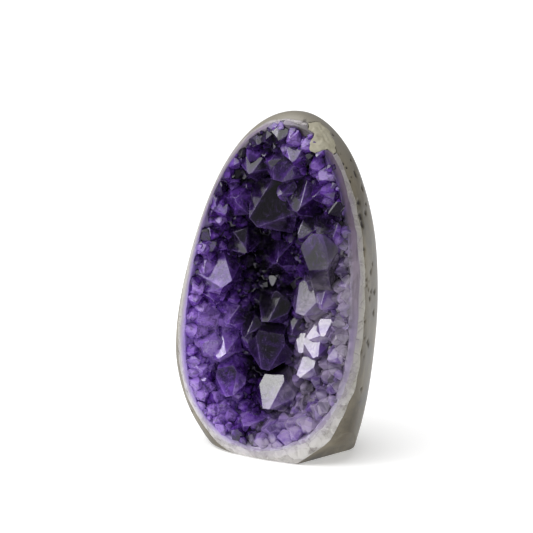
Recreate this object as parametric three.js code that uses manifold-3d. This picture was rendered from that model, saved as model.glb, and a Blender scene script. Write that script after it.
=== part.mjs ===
// An amethyst geode, ground to an upright egg and sawn flat underneath so that it stands.
// A dull basalt skin wraps a band of pale quartz, the quartz wraps an amethyst bed, and separate
// amethyst crystals stand in the bed around a hollow that opens to the front.
// Millimetres, +Z up, the open crystal side towards -Y.

import * as THREE from 'three';
import { ConvexGeometry } from 'three/addons/geometries/ConvexGeometry.js';
import { mergeVertices } from 'three/addons/utils/BufferGeometryUtils.js';
import Module from 'manifold-3d';

const wasm = await Module();
wasm.setup();

// ---- Driving dimensions: the ground form ------------------------------------------------------

const HEIGHT = 114.3;
const SQUARENESS = 2.35;
const BASE_CHAMFER = 0.9;
// Each side reaches furthest at its belly, closes to the top by its crown power, and narrows
// below the belly as part of an ellipse whose half height is its foot.
const LEFT = { reach: 42.2, belly: 31, crown: 1.55, foot: 43 };
const RIGHT = { reach: 26.5, belly: 51, crown: 2.25, foot: 75 };
const FRONT = { reach: 18, belly: 52.5, crown: 2.25, foot: 73 };
const BACK = { reach: 29.5, belly: 52.5, crown: 2.25, foot: 73 };
// The front right foot is ground off by one flat facet.
const FOOT_FACET = { point: [6.6, -10.1, 0], facing: [0.63, -0.38, -0.68], size: 60 };
// The form's flat facets. Levels crowd towards the top, where the form closes.
const FORM_FACETS = { around: 32, levels: 15, crowding: 1.5 };
// Near its side edge the ground face turns too steeply to be followed any further out.
const WIDEST_FACE_SHARE = 0.97;

// ---- Driving dimensions: the layers, as bowls that open to the front ---------------------------

// A bowl reaches left, right, up, down and deep from its centre, and leans to the right with height.
const MATRIX_BOWL = { centre: [-3.4, -18, 43], left: 36.9, right: 31.4, up: 75.5, down: 46.4,
  deep: 33, lean: 0.06 };
const QUARTZ_BOWL = { centre: [-8, -18, 40], left: 30.4, right: 34.2, up: 80.3, down: 38,
  deep: 27, lean: 0.1 };
const HOLLOW = { centre: [-7.4, -20, 40], left: 27.5, right: 31.8, up: 84, down: 35.2,
  deep: 24, lean: 0.08 };
const BOWL_SQUARENESS = 2.15;
const TUBE_LENGTH = 12;
const BOWL_FACETS = { around: 20, levels: 5 };
// The bowl that the crystals' roots end on is hidden, so it is coarser.
const ROOT_FACETS = { around: 12, levels: 3 };
// Beyond the hollow's edge, the wall's depth is taken at this share of its curve.
const LEAST_SINK = 0.2;
const GAP = 0.3;

// ---- Driving dimensions: the crystals ----------------------------------------------------------

// Quartz closes in six rhomb faces, 51.8 degrees off the plane across the crystal.
const TIP_ANGLE = THREE.MathUtils.degToRad(51.8);
// Every second tip face is larger, because it sits back by this share of the half width.
const MAJOR_FACE_SETBACK = 0.1;
// The face that is turned to the light is larger still.
const SHINING_FACE_SETBACK = 0.3;
// Each side of a crystal grows to a share of the half width between these.
const SIDE_GROWTH = { least: 0.9, most: 1.1 };
const LONGEST_ROOT = 9;
const MIRROR_RANK = 4;
// Roots end this far behind the hollow's wall.
const ROOT_DEPTH = 1.2;
// A tip keeps this far inside the ground face of the stone.
const TIP_INSET = 1.5;
// A tip stands out of the wall by its own height, by this share of the half width and by a stem.
const STANDING_SHARE = 1.3;
const STEM = 2.5;
// All half widths in the list are grown by this, until the crystals crowd each other.
const CROWDING = 1.12;
// How far the axis follows the wall it grows on, against pointing straight out of the mouth.
const WALL_SHARE = 0.5;
const LEAN = 0.34;
const CRYSTAL_SEED = 20;
// A face turned this way mirrors the light that comes over the left shoulder.
const MIRROR_WAY = new THREE.Vector3(-0.14, -0.85, 0.51).normalize();

// Places are across and up from the form's axis, then half width. "mirror" turns one tip face to
// the light, "off" turns it a little away from it, and "low" lets a crystal stand lower.
const CRYSTALS = [
  { at: [-10.5, 78.5, 7.8], off: [0.5, -0.35] },
  { at: [14.2, 69.5, 7.4] },
  { at: [-18, 58.5, 7.8], off: [0.22, 0.08] },
  { at: [-25, 72, 6.8] },
  { at: [4, 49.5, 6], off: [0.12, 0.14] },
  { at: [-9, 45, 5.4], off: [-0.12, 0.02] },
  { at: [-21.6, 33.2, 6], mirror: true },
  { at: [-6, 17, 5.2], mirror: true },
  { at: [-18.6, 19.6, 5.4], off: [0.1, -0.2] },
  { at: [-7.5, 28.4, 5.6], off: [0.35, -0.3] },
  { at: [13, 52.2, 4.2] },
  { at: [5.8, 41.2, 3.4], mirror: true },
  { at: [12.2, 42.6, 2.8], mirror: true },
  { at: [3.6, 35.4, 2.9], mirror: true },
  { at: [10.2, 35.6, 3.6], mirror: true },
  { at: [18.6, 36, 4] },
  { at: [3.2, 28, 3.4], mirror: true },
  { at: [-29, 46.5, 5] },
  { at: [-28, 37.5, 6.4] },
  { at: [-27.4, 28, 5] },
  { at: [-27, 21, 5.2] },
  { at: [-22, 15.2, 5] },
  { at: [-13.4, 11, 4.8] },
  { at: [-5, 11.4, 4.6] },
  { at: [5, 15.4, 5] },
  { at: [-8.8, 103.6, 5.4] },
  { at: [-0.2, 104, 5.4], low: 1 },
  { at: [3, 98.5, 4.8] },
  { at: [-2, 92.6, 5.6], off: [0.3, -0.1] },
  { at: [11.6, 93.4, 5.8] },
  { at: [-18, 92.2, 4.8] },
  { at: [-11.4, 94.4, 3.8] },
  { at: [-16, 86.6, 4.4] },
  { at: [-5.4, 98.6, 3.4] },
  { at: [4.6, 83, 6] },
  { at: [3.2, 73.6, 5.2], low: 2 },
  { at: [15.4, 82.2, 5.6] },
  { at: [-4, 65, 5.8], low: 2 },
  { at: [-23.2, 83, 4.2] },
  { at: [19.8, 61.4, 5] },
  { at: [19.4, 52.4, 4.6] },
  { at: [19.4, 44, 4.2] },
  { at: [16.6, 28.6, 4.8] },
  { at: [11.6, 21.4, 5] },
  { at: [-13.4, 68, 4.6] },
  { at: [5.4, 59.6, 4.8], low: 3 },
  { at: [-24, 51.6, 4.4] },
  { at: [-15.6, 39, 4.6] },
  { at: [-5, 55.6, 4.6], low: 2 },
  { at: [-20.4, 43.6, 4] },
  { at: [-12, 35, 3.8], low: 1 },
  { at: [0.4, 41, 4], low: 2 },
  { at: [11.4, 60.8, 3.8], low: 2 },
  { at: [9, 87.8, 4], low: 1 },
  { at: [-3, 87.4, 4] },
];
const SMALL_POINTS = { count: 24, smallest: 1.8, largest: 3, stem: 1, spread: 0.84, seed: 7 };

// ---- Driving dimensions: the crust left on the upper right of the skin -------------------------

const CRUST = {
  at: [11.3, -5, 106.9],
  facing: [0.66, -0.41, 0.63],
  depth: 2.6,
  height: 12,
  middle: [0.6, 0],
  outline: [[-2.4, 5.8], [-3.4, 3.6], [-2.3, 1.5], [-4.6, -0.9], [-5.4, -3.5], [-3.4, -4.6],
    [0, -4.7], [1.6, -6.5], [3.1, -5.9], [4, -2.2], [4.1, 2.5], [2.3, 5.9]],
};

// ---- Colours -----------------------------------------------------------------------------------

const COLOURS = {
  basalt: { color: 0x8d8674, roughness: 0.35, metalness: 0 },
  quartz: { color: 0xc9c6cf, roughness: 0.3, metalness: 0 },
  bed: { color: 0x4b2d78, roughness: 0.25, metalness: 0 },
  amethyst: { color: 0x5f3a9c, roughness: 0.12, metalness: 0 },
  crust: { color: 0xb4ac98, roughness: 0.7, metalness: 0 },
};

// ---- Solids ------------------------------------------------------------------------------------

function vec(values) {
  return new THREE.Vector3(...values);
}

function solidOf(geometry) {
  const bare = geometry.clone();
  bare.deleteAttribute('normal');
  bare.deleteAttribute('uv');
  const merged = mergeVertices(bare, 1e-5);
  return new wasm.Manifold(new wasm.Mesh({
    numProp: 3,
    vertProperties: new Float32Array(merged.attributes.position.array),
    triVerts: new Uint32Array(merged.index.array),
  }));
}

function geometryOf(solid) {
  const mesh = solid.getMesh();
  const geometry = new THREE.BufferGeometry();
  geometry.setAttribute('position', new THREE.BufferAttribute(mesh.vertProperties, 3));
  geometry.setIndex(new THREE.BufferAttribute(mesh.triVerts, 1));
  return geometry;
}

function largestPiece(solid) {
  const pieces = solid.decompose();
  return pieces.reduce((best, piece) => (piece.volume() > best.volume() ? piece : best));
}

// A skin of rings between two poles, each ring running round +Z.
function ringedSolid(bottom, rings, top) {
  const around = rings[0].length;
  const points = [bottom, ...rings.flat(), top];
  const faces = [];
  const last = points.length - 1;
  for (let i = 0; i < around; i += 1) {
    const next = (i + 1) % around;
    faces.push(0, 1 + next, 1 + i);
    for (let r = 0; r < rings.length - 1; r += 1) {
      const low = 1 + r * around;
      const high = low + around;
      faces.push(low + i, low + next, high + next);
      faces.push(low + i, high + next, high + i);
    }
    const rim = 1 + (rings.length - 1) * around;
    faces.push(rim + i, rim + next, last);
  }
  const geometry = new THREE.BufferGeometry().setFromPoints(points);
  geometry.setIndex(faces);
  return solidOf(geometry);
}

// ---- The ground form ---------------------------------------------------------------------------

function sideReach(side, z) {
  const rise = z > side.belly
    ? ((z - side.belly) / (HEIGHT - side.belly)) ** side.crown
    : ((side.belly - z) / side.foot) ** 2;
  return side.reach * Math.sqrt(Math.max(0, 1 - rise));
}

// How far forward the ground face stands at a place on the front.
function faceAt(x, z) {
  const reach = sideReach(x < 0 ? LEFT : RIGHT, z);
  const share = Math.min(WIDEST_FACE_SHARE, Math.abs(x) / reach);
  return -sideReach(FRONT, z) * (1 - share ** SQUARENESS) ** (1 / SQUARENESS);
}

function formPoint(turn, z, inset = 0) {
  const c = Math.cos(turn);
  const s = Math.sin(turn);
  const across = sideReach(c < 0 ? LEFT : RIGHT, z) - inset;
  const deep = sideReach(s < 0 ? FRONT : BACK, z) - inset;
  const power = 2 / SQUARENESS;
  return new THREE.Vector3(
    across * Math.sign(c) * Math.abs(c) ** power,
    deep * Math.sign(s) * Math.abs(s) ** power,
    z,
  );
}

function groundForm() {
  const { around, levels, crowding } = FORM_FACETS;
  const ring = (z, inset) => Array.from({ length: around },
    (_, i) => formPoint(2 * Math.PI * i / around, z, inset));
  const rings = [ring(0, BASE_CHAMFER)];
  for (let i = 0; i < levels; i += 1) {
    const share = 1 - (1 - i / levels) ** crowding;
    rings.push(ring(BASE_CHAMFER + (HEIGHT - BASE_CHAMFER) * share, 0));
  }
  const form = ringedSolid(new THREE.Vector3(0, 0, 0), rings, new THREE.Vector3(0, 0, HEIGHT));
  return form.subtract(blockBeyond(FOOT_FACET));
}

// A cube whose one face lies on the plane through a point, on the side that the plane faces.
function blockBeyond({ point, facing, size }) {
  const block = new THREE.BoxGeometry(size, size, size).translate(0, 0, size / 2);
  const turn = new THREE.Quaternion().setFromUnitVectors(new THREE.Vector3(0, 0, 1),
    vec(facing).normalize());
  block.applyQuaternion(turn);
  block.translate(...point);
  return solidOf(block);
}

// ---- The bowls ---------------------------------------------------------------------------------

// Only the back half of a bowl meets the stone, so its front is closed by a plain short tube.
function bowlSolid(bowl, grow = 0, facets = BOWL_FACETS) {
  const { around, levels } = facets;
  const [cx, cy, cz] = bowl.centre;
  const power = 2 / BOWL_SQUARENESS;
  const ring = (width, y) => Array.from({ length: around }, (_, i) => {
    const turn = 2 * Math.PI * i / around;
    const c = Math.cos(turn);
    const s = Math.sin(turn);
    const across = (c < 0 ? bowl.left : bowl.right) + grow;
    const high = (s < 0 ? bowl.down : bowl.up) + grow;
    const z = width * high * Math.sign(s) * Math.abs(s) ** power;
    const x = width * across * Math.sign(c) * Math.abs(c) ** power + bowl.lean * z;
    return new THREE.Vector3(cx + x, y, cz + z);
  });
  const rings = [];
  for (let level = 1; level <= levels; level += 1) {
    const tilt = Math.PI / 2 * level / levels;
    rings.push(ring(Math.sin(tilt), cy + (bowl.deep + grow) * Math.cos(tilt)));
  }
  rings.push(ring(1, cy - TUBE_LENGTH));
  return ringedSolid(new THREE.Vector3(cx, cy + bowl.deep + grow, cz), rings,
    new THREE.Vector3(cx, cy - TUBE_LENGTH, cz));
}

// The point of the hollow's wall behind a place on the mouth, and the way it faces.
function wallAt(x, z) {
  const [cx, cy, cz] = HOLLOW.centre;
  const rise = z - cz;
  const shift = x - cx - HOLLOW.lean * rise;
  const across = shift < 0 ? HOLLOW.left : HOLLOW.right;
  const high = rise < 0 ? HOLLOW.down : HOLLOW.up;
  const share = (Math.abs(shift / across) ** BOWL_SQUARENESS
    + Math.abs(rise / high) ** BOWL_SQUARENESS) ** (2 / BOWL_SQUARENESS);
  const sink = Math.max(LEAST_SINK, Math.sqrt(Math.max(0, 1 - share)));
  const facing = new THREE.Vector3(-shift / across ** 2, -sink / HOLLOW.deep, -rise / high ** 2);
  return { point: new THREE.Vector3(x, cy + HOLLOW.deep * sink, z), facing: facing.normalize() };
}

// ---- The crystals ------------------------------------------------------------------------------

function seededRandom(seed) {
  let state = seed;
  return () => {
    state = (state * 16807) % 2147483647;
    return state / 2147483647;
  };
}

// The solid that lies behind every plane, each a facing and a distance from the origin.
function solidBehind(planes) {
  const points = [];
  const cross = new THREE.Vector3();
  for (let i = 0; i < planes.length; i += 1) {
    for (let j = i + 1; j < planes.length; j += 1) {
      for (let k = j + 1; k < planes.length; k += 1) {
        const [a, b, c] = [planes[i], planes[j], planes[k]];
        const volume = a.facing.dot(cross.crossVectors(b.facing, c.facing));
        if (Math.abs(volume) > 1e-6) {
          const point = new THREE.Vector3()
            .addScaledVector(cross.crossVectors(b.facing, c.facing), a.distance / volume)
            .addScaledVector(cross.crossVectors(c.facing, a.facing), b.distance / volume)
            .addScaledVector(cross.crossVectors(a.facing, b.facing), c.distance / volume);
          if (planes.every((plane) => plane.facing.dot(point) < plane.distance + 1e-6)) {
            points.push(point);
          }
        }
      }
    }
  }
  return solidOf(new ConvexGeometry(points));
}

// The crystal's axis, which stands at the tip angle to the face that mirrors the light.
function axisFromFace(face, wish) {
  const side = wish.clone().addScaledVector(face, -wish.dot(face)).normalize();
  return face.clone().multiplyScalar(Math.cos(TIP_ANGLE)).addScaledVector(side, Math.sin(TIP_ANGLE));
}

function crystalPlan(spec, random) {
  const [x, z, width] = spec.at;
  const halfWidth = CROWDING * width;
  const wall = wallAt(x, z);
  const axis = new THREE.Vector3(0, -1, 0).multiplyScalar(1 - WALL_SHARE)
    .addScaledVector(wall.facing, WALL_SHARE).normalize();
  const lean = new THREE.Vector3(random() - 0.5, random() - 0.5, random() - 0.5);
  axis.addScaledVector(lean, 2 * LEAN).normalize();
  let startFacing = new THREE.Vector3(random() - 0.5, random() - 0.5, random() - 0.5);
  if (spec.mirror || spec.off) {
    const [right, up] = spec.off ?? [0, 0];
    const face = MIRROR_WAY.clone().add(new THREE.Vector3(right, 0, up)).normalize();
    axis.copy(axisFromFace(face, axis));
    startFacing = face;
  }
  startFacing.addScaledVector(axis, -startFacing.dot(axis)).normalize();
  const { least, most } = SIDE_GROWTH;
  const growth = Array.from({ length: 6 }, () => least + (most - least) * random());
  const proud = STANDING_SHARE * halfWidth + (spec.stem ?? STEM) - (spec.low ?? 0);
  const depth = Math.max(wall.point.y - proud, faceAt(x, z) + TIP_INSET);
  const tip = new THREE.Vector3(x, depth, z);
  const rank = halfWidth + (spec.mirror ? MIRROR_RANK : 0);
  const shining = Boolean(spec.mirror || spec.off);
  return { tip, axis, startFacing, halfWidth, growth, rank, shining };
}

function crystalSolid(plan, grow = 0) {
  const { tip, axis, startFacing, halfWidth, growth, shining } = plan;
  const planes = [];
  for (let i = 0; i < 6; i += 1) {
    const out = startFacing.clone().applyAxisAngle(axis, i * Math.PI / 3);
    planes.push({ facing: out, distance: out.dot(tip) + halfWidth * growth[i] + grow });
    const slope = out.clone().multiplyScalar(Math.sin(TIP_ANGLE))
      .addScaledVector(axis, Math.cos(TIP_ANGLE));
    const shareBack = i % 2 === 0 ? 0 : MAJOR_FACE_SETBACK * growth[i];
    const setback = halfWidth * (shining && i === 0 ? SHINING_FACE_SETBACK : shareBack);
    planes.push({ facing: slope, distance: slope.dot(tip) - setback + grow });
  }
  const root = axis.clone().negate();
  planes.push({ facing: root, distance: root.dot(tip) + 2 * halfWidth + LONGEST_ROOT + grow });
  return solidBehind(planes);
}

// Small points spread evenly over the mouth of the hollow, by a share of its reach.
function smallSpecs() {
  const random = seededRandom(SMALL_POINTS.seed);
  const [cx, , cz] = HOLLOW.centre;
  return Array.from({ length: SMALL_POINTS.count }, () => {
    const turn = 2 * Math.PI * random();
    const share = Math.sqrt(random()) * SMALL_POINTS.spread;
    const c = Math.cos(turn);
    const s = Math.sin(turn);
    const rise = share * s * (s < 0 ? HOLLOW.down : HOLLOW.up);
    const x = cx + share * c * (c < 0 ? HOLLOW.left : HOLLOW.right) + HOLLOW.lean * rise;
    const range = SMALL_POINTS.largest - SMALL_POINTS.smallest;
    const size = SMALL_POINTS.smallest + range * random();
    return { at: [x, cz + rise, size], stem: SMALL_POINTS.stem };
  });
}

// ---- The crust ---------------------------------------------------------------------------------

function crustBlock(grow = 0) {
  const middle = new THREE.Vector2(...CRUST.middle);
  const outline = CRUST.outline.map(([x, y]) => {
    const corner = new THREE.Vector2(x, y);
    return corner.addScaledVector(corner.clone().sub(middle).normalize(), grow);
  });
  const block = new THREE.ExtrudeGeometry(new THREE.Shape(outline),
    { depth: CRUST.height, bevelEnabled: false, steps: 1 });
  block.translate(0, 0, -CRUST.depth - grow);
  const facing = vec(CRUST.facing).normalize();
  const across = new THREE.Vector3(0, 0, 1).cross(facing).normalize();
  const up = facing.clone().cross(across);
  block.applyMatrix4(new THREE.Matrix4().makeBasis(across, up, facing));
  block.translate(...CRUST.at);
  return solidOf(block);
}

// ---- Putting the stone together ----------------------------------------------------------------

const stone = new THREE.Group();

function addPiece(name, solid, material) {
  const mesh = new THREE.Mesh(geometryOf(largestPiece(solid)), new THREE.MeshStandardMaterial(material));
  mesh.name = name;
  stone.add(mesh);
}

const form = groundForm();
const crust = crustBlock().intersect(form);
const body = form.subtract(crustBlock(GAP));
const pocket = body.intersect(bowlSolid(QUARTZ_BOWL));
const basalt = body.subtract(bowlSolid(MATRIX_BOWL, GAP));
const quartz = body.intersect(bowlSolid(MATRIX_BOWL)).subtract(bowlSolid(QUARTZ_BOWL, GAP));

addPiece('basalt_skin', basalt, COLOURS.basalt);
addPiece('quartz_band', quartz, COLOURS.quartz);
addPiece('chalcedony_crust', crust, COLOURS.crust);

// Larger crystals grew first, so each later one stops at those already there. The ones that
// mirror the light keep their faces whole.
const random = seededRandom(CRYSTAL_SEED);
const plans = CRYSTALS.map((spec, index) => ({ ...crystalPlan(spec, random), index }));
plans.sort((a, b) => b.rank - a.rank);
const pieces = [];
const rootRoom = bowlSolid(HOLLOW, ROOT_DEPTH, ROOT_FACETS).intersect(body);
const socketRoom = bowlSolid(HOLLOW, ROOT_DEPTH + GAP, ROOT_FACETS);
let bed = pocket.subtract(bowlSolid(HOLLOW));
for (const spec of smallSpecs()) {
  bed = bed.add(crystalSolid(crystalPlan(spec, random)).intersect(rootRoom));
}
for (const plan of plans) {
  let piece = crystalSolid(plan).intersect(rootRoom);
  for (const earlier of pieces) {
    piece = piece.subtract(earlier.clearance);
  }
  const clearance = crystalSolid(plan, GAP);
  bed = bed.subtract(clearance.intersect(socketRoom));
  pieces.push({ plan, piece, clearance });
}
addPiece('amethyst_bed', bed, COLOURS.bed);
pieces.sort((a, b) => a.plan.index - b.plan.index);
for (const { plan, piece } of pieces) {
  const number = String(plan.index + 1).padStart(2, '0');
  addPiece(`crystal_${number}`, piece, COLOURS.amethyst);
}

// The origin is the middle of the box, on the sawn base.
const box = new THREE.Box3().setFromObject(stone);
const middle = box.getCenter(new THREE.Vector3());
stone.position.set(-middle.x, -middle.y, -box.min.z);
stone.name = 'amethyst_geode';

export default stone;
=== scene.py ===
"""An amethyst geode, ground to an upright egg, standing on its sawn base. Metres, +Z up."""

import bmesh
import bpy
import itertools
import math
import numpy as np
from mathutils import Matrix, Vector


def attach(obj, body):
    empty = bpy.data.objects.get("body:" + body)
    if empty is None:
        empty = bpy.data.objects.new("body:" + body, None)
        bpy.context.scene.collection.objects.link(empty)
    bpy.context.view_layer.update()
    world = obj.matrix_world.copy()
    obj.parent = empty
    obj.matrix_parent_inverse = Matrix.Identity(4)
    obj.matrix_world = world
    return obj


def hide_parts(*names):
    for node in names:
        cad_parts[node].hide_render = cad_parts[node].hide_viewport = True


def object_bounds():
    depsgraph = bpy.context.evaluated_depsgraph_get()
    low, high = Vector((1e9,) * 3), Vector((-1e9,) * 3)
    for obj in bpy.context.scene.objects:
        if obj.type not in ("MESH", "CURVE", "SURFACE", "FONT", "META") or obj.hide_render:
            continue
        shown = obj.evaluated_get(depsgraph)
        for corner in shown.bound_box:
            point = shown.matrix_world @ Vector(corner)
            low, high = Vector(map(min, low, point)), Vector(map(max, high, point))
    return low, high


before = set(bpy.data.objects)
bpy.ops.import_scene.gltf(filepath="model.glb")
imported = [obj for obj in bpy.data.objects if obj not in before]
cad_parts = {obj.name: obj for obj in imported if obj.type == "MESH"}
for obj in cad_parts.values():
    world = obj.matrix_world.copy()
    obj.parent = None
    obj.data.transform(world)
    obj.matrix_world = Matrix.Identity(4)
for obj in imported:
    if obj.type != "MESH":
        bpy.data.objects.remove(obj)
cad_box = [list(corner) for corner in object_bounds()]
low, high = [np.array(corner) for corner in cad_box]

MM = 0.001

# ---- The ground form and its layers, as the model has them -------------------------------------

HEIGHT = float(high[2])
SQUARENESS = 2.35
BASE_CHAMFER = 0.9 * MM
LEFT = {"reach": 42.2 * MM, "belly": 31 * MM, "crown": 1.55, "foot": 43 * MM}
RIGHT = {"reach": 26.5 * MM, "belly": 51 * MM, "crown": 2.25, "foot": 75 * MM}
FRONT = {"reach": 18 * MM, "belly": 52.5 * MM, "crown": 2.25, "foot": 73 * MM}
BACK = {"reach": 29.5 * MM, "belly": 52.5 * MM, "crown": 2.25, "foot": 73 * MM}
FOOT_FACET = {"point": (6.6, -10.1, 0), "facing": (0.63, -0.38, -0.68)}
MATRIX_BOWL = {"centre": (-3.4, -18, 43), "left": 36.9, "right": 31.4, "up": 75.5, "down": 46.4,
               "deep": 33, "lean": 0.06}
QUARTZ_BOWL = {"centre": (-8, -18, 40), "left": 30.4, "right": 34.2, "up": 80.3, "down": 38,
               "deep": 27, "lean": 0.1}
HOLLOW = {"centre": (-7.4, -20, 40), "left": 27.5, "right": 31.8, "up": 84, "down": 35.2,
          "deep": 24, "lean": 0.08}
# The fine stone's hollow is a little wider than the model's, so crystals reach into the rim.
OPEN_HOLLOW = dict(HOLLOW, left=29.3, down=37.2, up=85)
BOWL_SQUARENESS = 2.15
TUBE_LENGTH = 12 * MM
# The fine form keeps this share of the model's size, so that its curves stay inside the box.
SNUG = 0.998
# The place inside the form that its dents and pits sink towards, from the form's axis.
FORM_MIDDLE = np.array([0, 4 * MM, 50 * MM])
# The way that the crust's outer face looks.
CRUST_FACING = (0.66, -0.41, 0.63)
# Brown stone shows beside the crust, and painted shadow under it: a place in the frame, and how
# far it reaches.
STAINS_AND_SHADOW = (((0.0122, -0.0128, 0.1072), 4.6 * MM), ((0.018, -0.017, 0.0996), 3.4 * MM))
# A bowl's usual reach in millimetres, which turns a share of it into a distance.
USUAL_REACH = 28
# Quartz closes in six faces at this angle to the plane across the crystal.
TIP_COS = math.cos(math.radians(51.8))
TIP_SIN = math.sin(math.radians(51.8))
# How bright the larger crystals are, from near black to lavender, for those that stand out.
TONES = {0.05: (36, 46, 49, 52), 0.22: (1, 5, 6, 27, 29, 35, 44), 0.5: (2, 3, 4, 9, 10, 28),
         0.78: (11, 16, 18, 20, 22, 23, 26, 30), 0.95: (12, 13, 14, 15, 17, 19, 21, 24)}
# Crystals that are made more slender, so that their neighbours' faces show.
SLENDER = {19: 0.6, 9: 0.8, 18: 0.8}
# How far inside the polished face the crystals are ground off, and how much they crowd.
FLUSH = 0.15 * MM
FILL = 1.08
# The scatters of small crystals. Least and Most are the reach of a crystal's sides in millimetres,
# Lean is the size of a random push on the unit way that it points, deepest is how far behind the
# ground face the scatter goes, and growth is each of the six sides' share of the reach.
DRUSES = {
    "druse_rim": {"Spacing": 3.7 * MM, "Least": 1.9, "Most": 3.3, "Lean": 0.45, "Seed": 3,
                  "deepest": 8 * MM, "growth": (1, 0.85, 1.1, 0.9, 0.8, 1)},
    "druse_coarse": {"Spacing": 4.6 * MM, "Least": 1.6, "Most": 2.8, "Lean": 0.5, "Seed": 5,
                     "deepest": 40 * MM, "growth": (1, 0.8, 1.05, 0.9, 0.85, 1)},
    "druse_fine": {"Spacing": 2.2 * MM, "Least": 0.8, "Most": 1.6, "Lean": 0.6, "Seed": 8,
                   "deepest": 40 * MM, "growth": (1, 0.9, 0.8, 1.05, 0.9, 0.95)},
}
# The form's own axis in the frame: the box is centred left to right, and its back is the form's.
AXIS = np.array([
    (low[0] + high[0] + LEFT["reach"] - RIGHT["reach"]) / 2,
    high[1] - BACK["reach"],
    0.0,
])

CAMERA_TURN = math.radians(22)
CAMERA_RISE = math.radians(12)
CAMERA_DISTANCE = 0.4253
CAMERA_AIM = (-0.0058, 0.0020, 0.0604)


# ---- Numbers: fields over points ---------------------------------------------------------------

def ripple(points, length, seed, waves=9):
    """A smooth random height over points, about -1 to 1, with waves near the given length."""
    rng = np.random.default_rng(seed)
    total = np.zeros(len(points))
    for _ in range(waves):
        way = rng.normal(size=3)
        way *= 2 * math.pi / (length * rng.uniform(0.7, 1.5) * np.linalg.norm(way))
        total += np.sin(points @ way + rng.uniform(0, 2 * math.pi))
    return total / math.sqrt(waves)


def side_reach(side, z):
    """How far one side of the form stands out from its axis at each height."""
    above = np.clip((z - side["belly"]) / (HEIGHT - side["belly"]), 0, 1) ** side["crown"]
    below = np.clip((side["belly"] - z) / side["foot"], 0, 1) ** 2
    rise = np.where(z > side["belly"], above, below)
    return side["reach"] * np.sqrt(np.maximum(0, 1 - rise))


def face_depth(x, z):
    """How far forward the ground face stands, across and up from the form's axis."""
    reach = np.where(x < 0, side_reach(LEFT, z), side_reach(RIGHT, z))
    share = np.clip(np.abs(x) / np.maximum(reach, 1e-6), 0, 1)
    return -side_reach(FRONT, z) * (1 - share ** SQUARENESS) ** (1 / SQUARENESS)


def on_face(points):
    """The places of the ground face straight in front of points from the form's axis."""
    return np.stack([points[:, 0], face_depth(points[:, 0], points[:, 2]), points[:, 2]], axis=1)


def behind_face(points):
    """How far behind the ground face each point from the form's axis is."""
    return points[:, 1] - face_depth(points[:, 0], points[:, 2])


def squarish(share, power):
    """A cosine or sine drawn out, so that a round outline becomes a squarer one."""
    return np.sign(share) * np.abs(share) ** power


def bowl_share(bowl, points):
    """1 on the bowl's wall, less inside it. Points are from the form's axis."""
    cx, cy, cz = np.array(bowl["centre"]) * MM
    rise = points[:, 2] - cz
    shift = points[:, 0] - cx - bowl["lean"] * rise
    across = np.where(shift < 0, bowl["left"], bowl["right"]) * MM
    tall = np.where(rise < 0, bowl["down"], bowl["up"]) * MM
    power = BOWL_SQUARENESS
    flat = (np.abs(shift / across) ** power + np.abs(rise / tall) ** power) ** (2 / power)
    return np.sqrt(flat + ((points[:, 1] - cy) / (bowl["deep"] * MM)) ** 2)


# ---- Meshes ------------------------------------------------------------------------------------

def new_object(name, mesh):
    piece = bpy.data.objects.new(name, mesh)
    bpy.context.scene.collection.objects.link(piece)
    return piece


def ringed_mesh(name, bottom, rings, top):
    """A closed skin of rings between two poles, each ring running round the way to the top."""
    around = len(rings[0])
    points = np.concatenate([[bottom], *rings, [top]])
    last = len(points) - 1
    i = np.arange(around)
    after = (i + 1) % around
    faces = [(0, 1 + b, 1 + a) for a, b in zip(i, after)]
    for level in range(len(rings) - 1):
        base = 1 + level * around
        faces += [(base + a, base + b, base + around + b, base + around + a)
                  for a, b in zip(i, after)]
    rim = 1 + (len(rings) - 1) * around
    faces += [(rim + a, rim + b, last) for a, b in zip(i, after)]
    mesh = bpy.data.meshes.new(name)
    mesh.from_pydata(points.tolist(), [], [tuple(map(int, face)) for face in faces])
    return mesh


def mesh_of(bm, name):
    mesh = bpy.data.meshes.new(name)
    bm.to_mesh(mesh)
    bm.free()
    return mesh


def split_long_edges(bm, longest):
    """Makes triangles, and halves the edges over a length, up to six times over."""
    bmesh.ops.triangulate(bm, faces=bm.faces)
    for _ in range(6):
        long_edges = [e for e in bm.edges if e.calc_length() > longest]
        if not long_edges:
            break
        bmesh.ops.subdivide_edges(bm, edges=long_edges, cuts=1)
        bmesh.ops.triangulate(bm, faces=bm.faces)


def points_of(mesh):
    flat = np.empty(len(mesh.vertices) * 3, np.float32)
    mesh.vertices.foreach_get("co", flat)
    return flat.reshape(-1, 3).astype(float)


def move_points(mesh, points):
    mesh.vertices.foreach_set("co", points.astype(np.float32).ravel())
    mesh.update()


def set_attribute(mesh, name, values, domain="POINT"):
    layer = mesh.attributes.new(name, "FLOAT", domain)
    layer.data.foreach_set("value", np.asarray(values, np.float32))


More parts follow.
